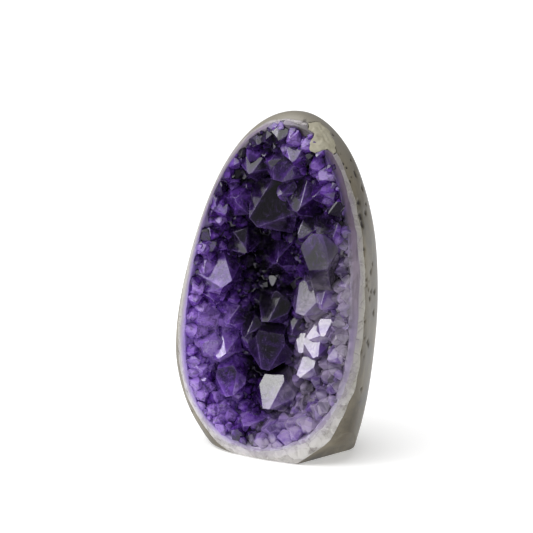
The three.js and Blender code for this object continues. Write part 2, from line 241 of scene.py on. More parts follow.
def form_mesh(name, around=300, levels=230):
    """The whole ground egg, about half a millimetre between points."""
    turn = 2 * math.pi * np.arange(around) / around
    c, s = np.cos(turn), np.sin(turn)
    power = 2 / SQUARENESS

    def ring(z, inset):
        across = np.where(c < 0, side_reach(LEFT, z), side_reach(RIGHT, z)) - inset
        deep = np.where(s < 0, side_reach(FRONT, z), side_reach(BACK, z)) - inset
        x = across * squarish(c, power)
        y = deep * squarish(s, power)
        return np.stack([x, y, np.full(around, z)], axis=1)

    rings = [ring(0.0, BASE_CHAMFER * (1 + 3 * k)) for k in (2, 1, 0)]
    for level in range(levels):
        share = 1 - (1 - level / levels) ** 1.5
        rings.append(ring(BASE_CHAMFER + (HEIGHT - BASE_CHAMFER) * share, 0.0))
    mesh = ringed_mesh(name, (0, 0, 0), rings, (0, 0, HEIGHT))
    points = points_of(mesh)
    points[:, :2] *= SNUG
    # The polisher leaves the stone a little uneven, and its sawn base stays flat.
    free = np.clip(points[:, 2] / (6 * MM), 0, 1)[:, None]
    out = points - FORM_MIDDLE
    out /= np.linalg.norm(out, axis=1)[:, None]
    uneven = 0.16 * MM * (ripple(points, 24 * MM, 3) - 1.2)
    points += out * free * uneven[:, None]
    move_points(mesh, points)
    return mesh


def bowl_mesh(name, bowl, grow=0.0, wave=0.0, seed=1, around=150, levels=40):
    """A bowl with its mouth to the front, closed by a tube, and waves of a given height on it."""
    cx, cy, cz = np.array(bowl["centre"]) * MM
    turn = 2 * math.pi * np.arange(around) / around
    c, s = np.cos(turn), np.sin(turn)
    power = 2 / BOWL_SQUARENESS
    across = np.where(c < 0, bowl["left"], bowl["right"]) * MM + grow
    tall = np.where(s < 0, bowl["down"], bowl["up"]) * MM + grow
    up = tall * squarish(s, power)
    side = across * squarish(c, power) + bowl["lean"] * up
    deep = bowl["deep"] * MM + grow

    def ring(width, y):
        return np.stack([cx + width * side, np.full(around, y), cz + width * up], axis=1)

    tilts = math.pi / 2 * np.arange(1, levels + 1) / levels
    rings = [ring(math.sin(tilt), cy + deep * math.cos(tilt)) for tilt in tilts]
    rings += [ring(1, cy - TUBE_LENGTH * k / 4) for k in range(1, 5)]
    mesh = ringed_mesh(name, (cx, cy + deep, cz), rings, (cx, cy - TUBE_LENGTH, cz))
    points = points_of(mesh)
    out = points - np.array([cx, cy, cz])
    out[:, 1] *= 2
    out /= np.linalg.norm(out, axis=1)[:, None]
    height = ripple(points, 13 * MM, seed) + 0.6 * ripple(points, 5 * MM, seed + 1)
    move_points(mesh, points + wave * out * height[:, None])
    return mesh


def block_mesh(name, point, facing):
    """A cube whose one face lies on the plane through a point, on the side the plane faces."""
    size = 60 * MM
    bm = bmesh.new()
    bmesh.ops.create_cube(bm, size=size)
    bmesh.ops.translate(bm, verts=bm.verts, vec=(0, 0, size / 2))
    turn = Vector((0, 0, 1)).rotation_difference(Vector(facing))
    bmesh.ops.rotate(bm, verts=bm.verts, cent=(0, 0, 0), matrix=turn.to_matrix())
    bmesh.ops.translate(bm, verts=bm.verts, vec=Vector(point) * MM)
    return mesh_of(bm, name)


def carve(mesh, steps):
    """The mesh after a list of (operation, tool mesh), as one plain mesh."""
    body = new_object("carving", mesh)
    tools = []
    for operation, tool in steps:
        cutter = new_object("cutter", tool)
        tools.append(cutter)
        cut = body.modifiers.new("cut", "BOOLEAN")
        cut.operation = operation
        cut.solver = "MANIFOLD"
        cut.object = cutter
    bpy.context.view_layer.update()
    graph = bpy.context.evaluated_depsgraph_get()
    done = bpy.data.meshes.new_from_object(body.evaluated_get(graph))
    for thing in [body, *tools]:
        bpy.data.objects.remove(thing)
    return done


def settle(name, mesh, material, slot, *nodes):
    """Puts a mesh made about the form's axis into the frame, in place of its model nodes."""
    move_points(mesh, points_of(mesh) + AXIS)
    piece = new_object(name, mesh)
    mesh.materials.clear()
    mesh.materials.append(material)
    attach(piece, "root")
    if nodes:
        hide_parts(*nodes)


# ---- Shader maths ------------------------------------------------------------------------------

class Value:
    """A socket of a node tree. Sums and products of values add the nodes that work them out."""

    def __init__(self, tree, socket):
        self.tree = tree
        self.socket = socket

    def maths(self, operation, *others):
        return add_node(self.tree, "ShaderNodeMath", {"operation": operation}, (self, *others))

    def __add__(self, other):
        return self.maths("ADD", other)

    def __sub__(self, other):
        return self.maths("SUBTRACT", other)

    def __rsub__(self, other):
        return add_node(self.tree, "ShaderNodeMath", {"operation": "SUBTRACT"}, (other, self))

    def __mul__(self, other):
        return self.maths("MULTIPLY", other)

    def __abs__(self):
        return self.maths("ABSOLUTE")

    def over(self, start, end, low_value=0.0, high_value=1.0):
        """Rises smoothly from one value to another while this one goes from start to end."""
        settings = {"interpolation_type": "SMOOTHSTEP", "clamp": True}
        return add_node(self.tree, "ShaderNodeMapRange", settings,
                        {"Value": self, "From Min": start, "From Max": end,
                         "To Min": low_value, "To Max": high_value})

    __radd__ = __add__
    __rmul__ = __mul__


def add_node(tree, kind, settings=None, inputs=(), output=0):
    """A new node: its settings first, then the values or links of its sockets."""
    node = tree.nodes.new(kind)
    for key, value in (settings or {}).items():
        if key == "stops":
            for place, colour in value[2:]:
                node.color_ramp.elements.new(place)
            for stop, (place, colour) in zip(node.color_ramp.elements, sorted(value)):
                stop.position = place
                stop.color = (*colour, 1)
        else:
            setattr(node, key, value)
    pairs = inputs.items() if isinstance(inputs, dict) else enumerate(inputs)
    for key, value in pairs:
        if isinstance(value, Value):
            tree.links.new(value.socket, node.inputs[key])
        elif isinstance(value, tuple) and len(value) == 3 and node.inputs[key].type == "RGBA":
            node.inputs[key].default_value = (*value, 1)
        else:
            node.inputs[key].default_value = value
    return Value(tree, node.outputs[output]) if node.outputs else None


def paint(red, green, blue):
    """A screen colour of 0 to 255 as the linear colour that the shader wants."""
    return tuple(((c / 255 + 0.055) / 1.055) ** 2.4 if c > 10 else c / 255 / 12.92
                 for c in (red, green, blue))


class Finish:
    """One material being made, with the fields that all of them use."""

    def __init__(self, name):
        self.material = bpy.data.materials.new(name)
        self.material.use_nodes = True
        self.tree = self.material.node_tree
        self.tree.nodes.clear()
        self.place = self.node("ShaderNodeTexCoord", output="Object")
        split = self.tree.nodes.new("ShaderNodeSeparateXYZ")
        self.tree.links.new(self.place.socket, split.inputs[0])
        self.x, self.y, self.z = [Value(self.tree, s) for s in split.outputs]

    def node(self, kind, settings=None, inputs=(), output=0):
        return add_node(self.tree, kind, settings, inputs, output)

    def noise(self, size, detail=4.0, roughness=0.55, distortion=0.0, where=None):
        """Cloudy noise, 0 to 1, whose lumps are about the given size."""
        return self.node("ShaderNodeTexNoise", {"noise_dimensions": "3D"},
                         {"Vector": where or self.place, "Scale": 0.6 / size, "Detail": detail,
                          "Roughness": roughness, "Distortion": distortion}, output="Fac")

    def cells(self, size, feature="F1", output="Distance", where=None):
        """Angular grains of about the given size."""
        return self.node("ShaderNodeTexVoronoi", {"feature": feature},
                         {"Vector": where or self.place, "Scale": 1 / size}, output=output)

    def warped(self, size, amount):
        """Every place moved a little by a noise, so that patterns lose their straight edges."""
        push = self.node("ShaderNodeTexNoise", None,
                         {"Vector": self.place, "Scale": 0.6 / size, "Detail": 3.0}, "Color")
        return self.node("ShaderNodeVectorMath", {"operation": "MULTIPLY_ADD"},
                         [push, (amount, amount, amount), self.place])

    def attribute(self, name):
        return self.node("ShaderNodeAttribute", {"attribute_name": name}, output="Fac")

    def mix(self, factor, first, second):
        """The first colour at 0, the second at 1."""
        settings = {"data_type": "RGBA", "clamp_factor": True}
        return self.node("ShaderNodeMix", settings, {0: factor, 6: first, 7: second}, output=2)

    def ramp(self, value, *stops):
        return self.node("ShaderNodeValToRGB", {"stops": stops}, [value])

    def shifted(self, factors):
        """Places drawn out along an axis where its factor is less than 1, closer where more."""
        return self.node("ShaderNodeVectorMath", {"operation": "MULTIPLY"}, [self.place, factors])

    def bump(self, height, depth, strength):
        return self.node("ShaderNodeBump", None,
                         {"Height": height, "Distance": depth, "Strength": strength})

    def surface(self, **sockets):
        """Ends the material in one Principled shader; keys are socket names with underscores."""
        inputs = {key.replace("_", " "): value for key, value in sockets.items()}
        shader = self.node("ShaderNodeBsdfPrincipled", None, inputs)
        self.node("ShaderNodeOutputMaterial", None, [shader])
        return self.material


# ---- Finishes ----------------------------------------------------------------------------------

def stained_and_shaded(f, colour):
    """Brown, pitted stone beside the crust, and painted shadow under it."""
    ragged = 0.012 * (f.noise(1.6 * MM, 5, 0.7) - 0.5)
    stain_and_shadow = 0.0
    # The first place is brown stone; the second is a painted shadow under the crust.
    for place, reach in STAINS_AND_SHADOW:
        away = f.node("ShaderNodeVectorMath", {"operation": "DISTANCE"}, [f.place, place], "Value")
        stain_and_shadow = (away + ragged).over(reach, 0.6 * reach) + stain_and_shadow
    return f.mix(stain_and_shadow * 0.85, colour, paint(50, 41, 36))


def basalt_finish():
    f = Finish("polished_basalt")
    mottle = f.noise(9 * MM, 6, 0.62, 0.4)
    grain = f.noise(1.1 * MM, 5, 0.7)
    streak = f.noise(5 * MM, 5, 0.6, 0.3, f.shifted((1.0, 1.0, 0.22)))
    rock = f.ramp(mottle + 0.35 * (grain - 0.5),
                  (0.34, paint(34, 27, 19)), (0.48, paint(70, 61, 43)),
                  (0.68, paint(96, 86, 63)))
    pale = f.mix(streak.over(0.52, 0.68) * 0.4, rock, paint(132, 124, 100))
    inner = f.attribute("from_matrix").over(3.5, 0.2)
    edge = f.mix(inner * (0.1 + 0.6 * mottle), pale, paint(132, 124, 106))
    crown = f.z.over(0.084, 0.112)
    top = f.mix(crown * 0.75, edge, paint(138, 133, 122))
    pits = f.attribute("pit")
    specks = f.cells(0.9 * MM).over(0.2, 0.08) * f.noise(6 * MM, 2).over(0.46, 0.6)
    # Painted shade: darker the deeper the pits sink, together with the stone's own dark specks.
    colour = f.mix(pits.over(0.15, 0.75) + 0.75 * specks, top, paint(34, 27, 25))
    height = 0.5 * grain + 0.5 * mottle - 0.8 * specks
    return f.surface(Base_Color=stained_and_shaded(f, colour),
                     Roughness=0.34 + 0.3 * grain * mottle + 0.4 * pits,
                     Coat_Weight=0.12, Coat_Roughness=0.2, IOR=1.45,
                     Normal=f.bump(height, 0.12 * MM, 0.5))


def blocky(f, size):
    """Massive quartz, broken into angular grains: a tint for each grain, and its dark seams."""
    where = f.warped(2.5 * MM, 2.2 * MM)
    large, small = [
        f.node("ShaderNodeSeparateXYZ", None, [f.cells(width, output="Color", where=where)])
        for width in (size, 0.45 * size)]
    seams = f.cells(size, "DISTANCE_TO_EDGE", where=where).over(0.1, 0.0)
    return 0.6 * large + 0.4 * small, seams


def quartz_finish():
    f = Finish("polished_quartz")
    grain, seams = blocky(f, 3.6 * MM)
    cloud = f.noise(2.6 * MM, 6, 0.66, 0.6)
    low_down = f.z.over(0.034, 0.012)
    white = f.mix(low_down, paint(150, 146, 134), paint(178, 174, 171))
    grey = f.mix(cloud.over(0.45, 0.68) * 0.85, white, paint(130, 124, 118))
    cell = f.mix(grain.over(0.35, 0.75) * (0.15 + 0.55 * low_down), grey, paint(212, 209, 206))
    lilac = f.attribute("from_quartz").over(2.2, 0.0)
    colour = f.mix(lilac * 0.4 * cloud, cell, paint(146, 128, 180))
    colour = f.mix(seams * cloud.over(0.5, 0.7) * 0.4, colour, paint(112, 106, 104))
    height = cloud * 0.5 + grain - seams
    return f.surface(Base_Color=stained_and_shaded(f, colour), Roughness=0.2 + 0.35 * grain, Coat_Weight=0.3,
                     Coat_Roughness=0.12, IOR=1.54, Subsurface_Weight=0.2,
                     Subsurface_Scale=0.002, Subsurface_Radius=(1.0, 0.95, 1.0),
                     Normal=f.bump(height, 0.25 * MM, 0.6))


def crust_finish():
    f = Finish("chalcedony_crust")
    cloud = f.noise(3 * MM, 6, 0.62, 0.3)
    grain = f.noise(0.7 * MM, 4, 0.7)
    colour = f.ramp(cloud + 0.3 * (grain - 0.5), (0.3, paint(132, 126, 106)),
                    (0.5, paint(156, 151, 132)), (0.75, paint(174, 169, 151)))
    return f.surface(Base_Color=colour, Roughness=0.5 + 0.3 * grain, Coat_Weight=0.1,
                     Coat_Roughness=0.3, Normal=f.bump(grain + cloud, 0.2 * MM, 0.6))


def zones(f):
    """Painted light and shade from place to place, how pale the amethyst is, and how far forward.
    """
    left = f.x.over(-0.003, -0.019) * f.z.over(0.092, 0.045, 0.66, 1.0)
    right = f.x.over(0.000, 0.010)
    foot = f.z.over(0.030, 0.012)
    crown = f.z.over(0.090, 0.104)
    low_left = left * f.z.over(0.06, 0.035)
    # Painted light and shade: brighter on the left wall and low on the left, on the right, at the
    # foot and crown, darker mid-hollow.
    painted_light = 0.78 * left + 0.9 * low_left + 0.42 * right + 0.5 * foot + 0.1 * crown
    painted_light = painted_light.maths("MINIMUM", 1.3)
    rightmost = (f.x - 0.12 * f.z).over(0.001, 0.008) * f.z.over(0.066, 0.05)
    corner = (f.x - 0.45 * f.z).over(-0.010, 0.001)
    pale = rightmost.maths("MAXIMUM", corner)
    forward = f.y.over(-0.003, -0.017)
    return painted_light, pale, forward


def amethyst_colour(f, tone, away=None, tip_away=None):
    """Violet, lavender at the edges in part as painted highlight, painted shade deep down, pale
    lower right.
    """
    painted_light, pale, forward = zones(f)
    cloud = f.noise(3.4 * MM, 5, 0.6, 0.8)
    wisps = f.noise(1.5 * MM, 5, 0.65, 1.6, f.shifted((1.0, 0.7, 0.5)))
    # Painted shade: darker towards each crystal's root, where its neighbours shade it.
    depth = 0.5 if tip_away is None else tip_away.over(0.4, 2.0)
    shade = 0.62 * tone + 0.34 * cloud.over(0.36, 0.64) + 0.42 * painted_light - 0.34 * depth
    body = f.ramp(shade, (0.12, paint(4, 2, 6)), (0.36, paint(25, 11, 41)),
                  (0.6, paint(64, 29, 110)), (0.82, paint(110, 66, 174)),
                  (1.0, paint(158, 122, 210)))
    # Painted shade: near black deep in the hollow where the painted light is low, less towards the
    # mouth.
    dark = (1 - painted_light) * (1 - 0.65 * forward)
    deep = f.mix(dark * 0.92, body, paint(4, 2, 7))
    # Painted light: the pale wisps and veils of inclusions are their own colour, but show more
    # where painted light falls or near the mouth.
    painted_lit = painted_light.maths("MAXIMUM", 0.34 * forward)
    wispy = f.mix(wisps.over(0.56, 0.72) * (0.05 + 0.42 * painted_lit), deep, paint(140, 98, 204))
    blots = f.noise(1.1 * MM, 4, 0.62, 0.6).over(0.54, 0.4) * (1 - 0.6 * pale)
    blotted = f.mix(blots * 0.5, wispy, paint(14, 6, 24))
    paler = f.mix(pale * (0.1 + 0.7 * cloud.over(0.3, 0.7)), blotted, paint(172, 162, 178))
    if away is None:
        return paler, cloud, wisps
    ridge = abs(f.noise(2.2 * MM, 3, 0.5, 2.2) - 0.5).over(0.028, 0.004)
    veils = ridge * wisps.over(0.44, 0.56) * painted_lit * (0.2 + tone) * (1 - 0.5 * depth)
    # Lavender at the crystal edges: partly their own colour, partly a painted edge highlight,
    # stronger in painted light, weaker in painted shade.
    rim = (away + 6 * (cloud - 0.5)).over(1.0, -0.6) * (0.04 + 0.8 * painted_lit) * (1 - 0.7 * depth)
    # A thin pale line along the edges: a painted edge highlight.
    painted_edge_line = away.over(0.24, 0.06) * wisps.over(0.42, 0.62) * (1 - depth) * (0.1 + painted_lit)
    cloudy = f.mix(rim * 0.6, paler, paint(142, 96, 212))
    veiled = f.mix(veils * 0.55, cloudy, paint(190, 172, 226))
    return f.mix(painted_edge_line * 0.3, veiled, paint(186, 162, 226)), cloud, wisps


def crystal_finish():
    f = Finish("amethyst")
    colour, cloud, wisps = amethyst_colour(f, f.attribute("tone"), f.attribute("edge_away"),
                                           f.attribute("tip_away"))
    steps = f.noise(0.6 * MM, 3, 0.5, 0.3, f.shifted((0.35, 0.35, 2.0)))
    ground = f.attribute("ground")
    return f.surface(Base_Color=colour, Roughness=0.05 + 0.12 * wisps + 0.3 * ground, IOR=1.544,
                     Transmission_Weight=0.3,
                     Normal=f.bump(steps * 0.4 + cloud, 0.12 * MM, 0.3))


def druse_finish():
    f = Finish("amethyst_druse")
    colour, cloud, wisps = amethyst_colour(f, f.attribute("tone"),
                                           tip_away=f.attribute("tip_away"))
    return f.surface(Base_Color=colour, Roughness=0.06 + 0.14 * wisps, IOR=1.544,
                     Transmission_Weight=0.2,
                     Normal=f.bump(cloud + 0.3 * wisps, 0.12 * MM, 0.3))


def bed_finish():
    f = Finish("amethyst_bed")
    colour, cloud, wisps = amethyst_colour(f, f.noise(5 * MM, 3))
    rim = f.attribute("from_hollow").over(0.0, 1.8)
    outer = f.attribute("from_quartz").over(-2.6, 0.3)
    high_right = f.x.over(0.002, 0.012) * f.z.over(0.042, 0.058)
    low_down = f.z.over(0.045, 0.02)
    band = f.mix(high_right, paint(112, 84, 164), paint(112, 92, 110))
    worn = f.mix(rim * (0.45 + 0.4 * cloud), colour, band)
    outside = f.mix(low_down, paint(128, 116, 132), paint(186, 180, 194))
    grain, seams = blocky(f, 2.6 * MM)
    broken = f.mix(grain.over(0.4, 0.75) * 0.7, outside, paint(136, 122, 142))
    broken = f.mix(seams * cloud.over(0.5, 0.7) * 0.4, broken, paint(100, 88, 104))
    edge = f.mix(outer * (1 - 0.65 * high_right), worn, broken)
    stripes = f.noise(1.1 * MM, 2, 0.4, 0.2, f.shifted((1.6, 1.0, 0.12)))
    striped = f.mix(high_right * stripes.over(0.5, 0.62) * 0.35, edge, paint(54, 42, 62))
    height = f.noise(1.6 * MM, 4, 0.6) * (1 - rim) + 0.2 * cloud
    return f.surface(Base_Color=stained_and_shaded(f, striped), Roughness=0.2 + 0.3 * wisps, IOR=1.54,
                     Coat_Weight=0.4, Coat_Roughness=0.1, Subsurface_Weight=0.2,
                     Subsurface_Scale=0.003, Subsurface_Radius=(0.8, 0.5, 1.0),
                     Normal=f.bump(height, 0.5 * MM, 0.5))


# ---- The layers --------------------------------------------------------------------------------

def pit_field(points, seed=11):
    """Small open pits, mostly high on the right: how deep each point sinks, 0 to 1."""
    rng = np.random.default_rng(seed)
    depth = np.zeros(len(points))
    pits, pits_on_right, power = 170, 120, 0.85
    for index in range(pits):
        on_right = index < pits_on_right
        z = rng.uniform(38 if on_right else 8, 108) * MM
        turn = rng.uniform(-0.95, 0.15) if on_right else rng.uniform(-3.1, 3.1)
        across = side_reach(RIGHT if math.cos(turn) > 0 else LEFT, z)
        deep = side_reach(FRONT if math.sin(turn) < 0 else BACK, z)
        centre = np.array([across * squarish(math.cos(turn), power),
                           deep * squarish(math.sin(turn), power), z])
        size = rng.uniform(0.35, 1.0) * MM * (1.6 if rng.random() < 0.12 else 1)
        stretch = np.array([1, 1, rng.uniform(0.6, 1.5)])
        away = np.linalg.norm((points - centre) / stretch, axis=1) / size
        depth = np.maximum(depth, np.clip(1.25 - away, 0, 1))
    return depth


def layer_fields(mesh):
    """About how many millimetres outside each bowl's wall it is, for the finishes to follow."""
    points = points_of(mesh)
    for name, bowl in (("from_hollow", HOLLOW), ("from_quartz", QUARTZ_BOWL),
                       ("from_matrix", MATRIX_BOWL)):
        set_attribute(mesh, name, (bowl_share(bowl, points) - 1) * USUAL_REACH)


def crust_solid():
    """The crust as the model has it, with its loose triangles joined."""
    bm = bmesh.new()
    bm.from_mesh(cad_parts["chalcedony_crust"].data)
    bmesh.ops.remove_doubles(bm, verts=bm.verts, dist=0.004 * MM)
    return bm


def crust_cutter(grow):
    """The crust's solid about the form's axis, grown a little to the sides and back, and raised
    clear of the stone at its outer face."""
    clearance, outer_from = 3 * MM, -0.8 * MM
    bm = crust_solid()
    middle = sum((v.co for v in bm.verts), Vector()) / len(bm.verts)
    facing = Vector(CRUST_FACING).normalized()
    for v in bm.verts:
        out = v.co - middle
        rise = out.dot(facing)
        out -= facing * rise
        lift = clearance if rise > outer_from else -grow
        v.co += out.normalized() * grow + facing * lift
    bmesh.ops.translate(bm, verts=bm.verts, vec=Vector(-AXIS))
    return mesh_of(bm, "crust_cutter")


def make_layers():
    wave = 0.35 * MM
    facet = ("DIFFERENCE", block_mesh("facet", **FOOT_FACET))
    matrix = bowl_mesh("matrix_bowl", MATRIX_BOWL, wave=wave, seed=21)
    quartz = bowl_mesh("quartz_bowl", QUARTZ_BOWL, wave=wave, seed=31)
    hollow = bowl_mesh("hollow_bowl", OPEN_HOLLOW, wave=wave, seed=41)
    crust = crust_cutter(0.12 * MM)

    skin = form_mesh("basalt_form")
    points = points_of(skin)
    pits = pit_field(points)
    inward = FORM_MIDDLE - points
    inward /= np.linalg.norm(inward, axis=1)[:, None]
    move_points(skin, points + inward * (pits * 0.55 * MM)[:, None])
    set_attribute(skin, "pit", pits)
    basalt = carve(skin, [facet, ("DIFFERENCE", matrix), ("DIFFERENCE", crust)])
    band = carve(form_mesh("quartz_form"), [facet, ("INTERSECT", matrix),
                                            ("DIFFERENCE", quartz), ("DIFFERENCE", crust)])
    bed = carve(form_mesh("bed_form"), [facet, ("INTERSECT", quartz),
                                        ("DIFFERENCE", hollow), ("DIFFERENCE", crust)])
    for mesh in (basalt, band, bed):
        layer_fields(mesh)
        mesh.shade_smooth()
        mesh.set_sharp_from_angle(angle=math.radians(35))
    settle("basalt_skin_polished", basalt, basalt_finish(), "basalt", "basalt_skin")
    settle("quartz_band_polished", band, quartz_finish(), "quartz", "quartz_band")
    settle("amethyst_bed_ground", bed, bed_finish(), "amethyst_bed", "amethyst_bed")


def make_crust():
    bm = crust_solid()
    split_long_edges(bm, 0.45 * MM)
    mesh = mesh_of(bm, "chalcedony_crust_rough")
    points = points_of(mesh)
    out = points - points.mean(axis=0)
    out /= np.linalg.norm(out, axis=1)[:, None]
    rough = ripple(points, 2.4 * MM, 5) + 0.7 * ripple(points, 1.1 * MM, 6)
    points += out * (0.12 * MM * (rough - 1.5))[:, None]
    move_points(mesh, points - AXIS)
    mesh.shade_smooth()
    mesh.set_sharp_from_angle(angle=math.radians(40))
    settle("chalcedony_crust_rough", mesh, crust_finish(), "crust", "chalcedony_crust")


# ---- The crystals ------------------------------------------------------------------------------

def unit(way):
    way = np.array(way, float)
    return way / np.linalg.norm(way)


def outer_planes(mesh):
    """Facing, distance and area of each plane that the whole solid lies behind."""
    least_area = 0.01 * MM ** 2
    same_way, same_depth, slack = 0.9998, 0.03 * MM, 0.01 * MM
    points = points_of(mesh)
    mesh.calc_loop_triangles()
    corners = np.array([t.vertices for t in mesh.loop_triangles])
    a, b, c = points[corners[:, 0]], points[corners[:, 1]], points[corners[:, 2]]
    cross = np.cross(b - a, c - a)
    area = np.linalg.norm(cross, axis=1) / 2
    keep = area > least_area
    facing = cross[keep] / (2 * area[keep][:, None])
    distance = np.einsum("ij,ij->i", facing, (a + b + c)[keep] / 3)
    area = area[keep]
    planes = []
    for n, d, size in sorted(zip(facing, distance, area), key=lambda plane: -plane[2]):
        same = [p for p in planes if n @ p[0] > same_way and abs(d - p[1]) < same_depth]
        if same:
            same[0][2] += size
        elif (points @ n).max() < d + slack:
            planes.append([n, d, size])
    return planes


def crystal_way(planes):
    """The way a crystal points: square to its sides, and at the tip angle to its tip faces.
    Many ways that look out of the hollow are tried, and the best are settled on the faces that
    they nearly fit."""
    tries, kept, rounds = 4000, 80, 4
    rough, close, outward = 0.05, 0.006, -0.6
    facing = np.array([n for n, _, _ in planes])
    area = np.array([size for _, _, size in planes])

    def fits(way, slack):
        dots = way @ facing.T
        return (np.abs(dots) < slack) | (np.abs(dots - TIP_COS) < slack)

    index = np.arange(tries)
    height = 1 - 2 * (index + 0.5) / tries
    turn = index * math.pi * (3 - math.sqrt(5))
    ring = np.sqrt(1 - height ** 2)
    ways = np.stack([ring * np.cos(turn), ring * np.sin(turn), height], axis=1)
    ways = ways[ways[:, 1] < outward]
    best, best_way = 0.0, np.array([0, -1.0, 0])
    for way in ways[np.argsort(-(fits(ways, rough) @ area))[:kept]]:
        for _ in range(rounds):
            hit = fits(way, rough)
            goal = np.where(np.abs(facing[hit] @ way) < rough, 0.0, TIP_COS)
            if hit.sum() < 3 or not goal.any():
                break
            way = unit(np.linalg.lstsq(facing[hit], goal, rcond=None)[0])
        total = fits(way, close) @ area
        if total > best * 1.001 and way[1] < outward:
            best, best_way = total, way
    return best_way


def ground_plane(place):
    """The polished face in front of a place, as a plane: nothing may stand out of it."""
    x, z = place[0] - AXIS[0], place[2]
    step = 0.4 * MM
    here = face_depth(np.array([x, x + step, x]), np.array([z, z, z + step]))
    way = unit(((here[1] - here[0]) / step, -1, (here[2] - here[0]) / step))
    face = np.array([place[0], here[0] + AXIS[1], place[2]])
    return way, float(way @ face) - FLUSH


def rim_plane(place):
    """A plane just outside the hollow's edge beside a place: crystals stop behind it, and those
    at the right stop closer to the edge."""
    here = place - AXIS
    cx, cy, cz = np.array(OPEN_HOLLOW["centre"]) * MM
    rise = here[2] - cz
    out = unit((here[0] - cx - OPEN_HOLLOW["lean"] * rise, 0, 0.6 * rise))
    edge = here - out * (out @ (here - (cx, 0, cz)))
    while bowl_share(OPEN_HOLLOW, edge[None])[0] < 1:
        edge = edge + out * 0.25 * MM
        edge[1] = max(float(face_depth(edge[0], edge[2])), cy)
    margin = 0.1 * MM if out[0] > 0.5 else 0.7 * MM
    return out, float(out @ (edge + AXIS)) + margin


def whole_crystal(node, fill):
    """A crystal of the model made whole: the planes of its sides, tip, root and ground faces,
    then its apex, its way and the reach of its sides. A face that the model lacks is put at the
    reach of the others."""
    square, same_face, setback = 0.01, 0.999, 0.08
    least_width, most_width, longest = 2.8 * MM, 9 * MM, 30 * MM
    planes = outer_planes(node.data)
    points = points_of(node.data)
    way = crystal_way(planes)
    sides = [(n, d) for n, d, _ in planes if abs(n @ way) < square]
    tips = [(n, d) for n, d, _ in planes if abs(n @ way - TIP_COS) < square]
    u = unit(np.cross(way, (0, 0, 1)))
    v = np.cross(way, u)
    turns = [math.atan2(n @ v, n @ u) for n, _ in sides + tips] or [0.0]
    phase = np.angle(sum(np.exp(6j * np.array(turns)))) / 6
    if len(tips) >= 3:
        facing, distance = map(np.array, zip(*tips))
        apex = np.linalg.lstsq(facing, distance, rcond=None)[0]
    else:
        apex = points[np.argmax(points @ way)]
    if sides:
        width = float(np.median([d - n @ apex for n, d in sides]))
    else:
        aside = points - apex
        aside -= np.outer(aside @ way, way)
        width = 0.9 * float(np.percentile(np.linalg.norm(aside, axis=1), 85))
    width = min(max(width, least_width), most_width) * fill
    root = 0.0
    while root < longest and bowl_share(HOLLOW, (apex - way * root - AXIS)[None])[0] < 1:
        root += 0.5 * MM
    made = []
    for step in range(6):
        turn = phase + step * math.pi / 3
        out = math.cos(turn) * u + math.sin(turn) * v
        slope = out * TIP_SIN + way * TIP_COS
        own = [d - n @ apex for n, d in sides if n @ out > same_face]
        made.append((out, out @ apex + (own[0] * fill if own else width)))
        own = [d for n, d in tips if n @ slope > same_face]
        made.append((slope, own[0] if own else slope @ apex - setback * width))
    # The root goes a little into the wall, and nothing passes the front of the model's box.
    made.append((-way, -way @ apex + root + 0.5 * width + 1 * MM))
    made += [ground_plane(apex), rim_plane(apex), (np.array([0, -1.0, 0]), -float(low[1]))]
    return made, apex, way, width


def solid_behind(planes):
    """The convex solid behind a list of planes, with flat many-sided faces."""
    facing = np.array([n for n, _ in planes])
    distance = np.array([d for _, d in planes])
    triples = np.array(list(itertools.combinations(range(len(planes)), 3)))
    systems = facing[triples]
    good = np.abs(np.linalg.det(systems)) > 1e-3
    corners = np.linalg.solve(systems[good], distance[triples[good]][..., None])[..., 0]
    inside = (corners @ facing.T <= distance + 1e-8).all(axis=1)
    bm = bmesh.new()
    for corner in corners[inside]:
        bm.verts.new(corner)
    bmesh.ops.remove_doubles(bm, verts=bm.verts, dist=0.02 * MM)
    hull = bmesh.ops.convex_hull(bm, input=bm.verts)
    loose = {v for v in hull["geom_interior"] + hull["geom_unused"]
             if isinstance(v, bmesh.types.BMVert)}
    bmesh.ops.delete(bm, geom=list(loose), context="VERTS")
    bmesh.ops.dissolve_limit(bm, angle_limit=math.radians(1.5), verts=bm.verts, edges=bm.edges)
    return bm


def grind_flush(mesh):
    """Whatever stands out of the ground face, or past the hollow's rim, is ground back. The
    shares are of the hollow's own reach at the ground face."""
    widest, sinks_from = 1.04, 1.03
    steepness, deepest_sink, most_ground = 60 * MM, 3 * MM, 14 * MM
    points = points_of(mesh)
    cx, _, cz = np.array(OPEN_HOLLOW["centre"]) * MM
    pull = np.minimum(1, widest / np.maximum(bowl_share(OPEN_HOLLOW, on_face(points)), 1e-6))
    points[:, 0] = cx + (points[:, 0] - cx) * pull
    points[:, 2] = cz + (points[:, 2] - cz) * pull
    face = on_face(points)
    beyond = bowl_share(OPEN_HOLLOW, face) - sinks_from
    front = face[:, 1] + FLUSH + np.clip(beyond * steepness, 0, deepest_sink)
    front = np.maximum(front, low[1] - AXIS[1] + FLUSH)
    points[:, 1] = np.maximum(points[:, 1], np.minimum(front, points[:, 1] + most_ground))
    move_points(mesh, points)


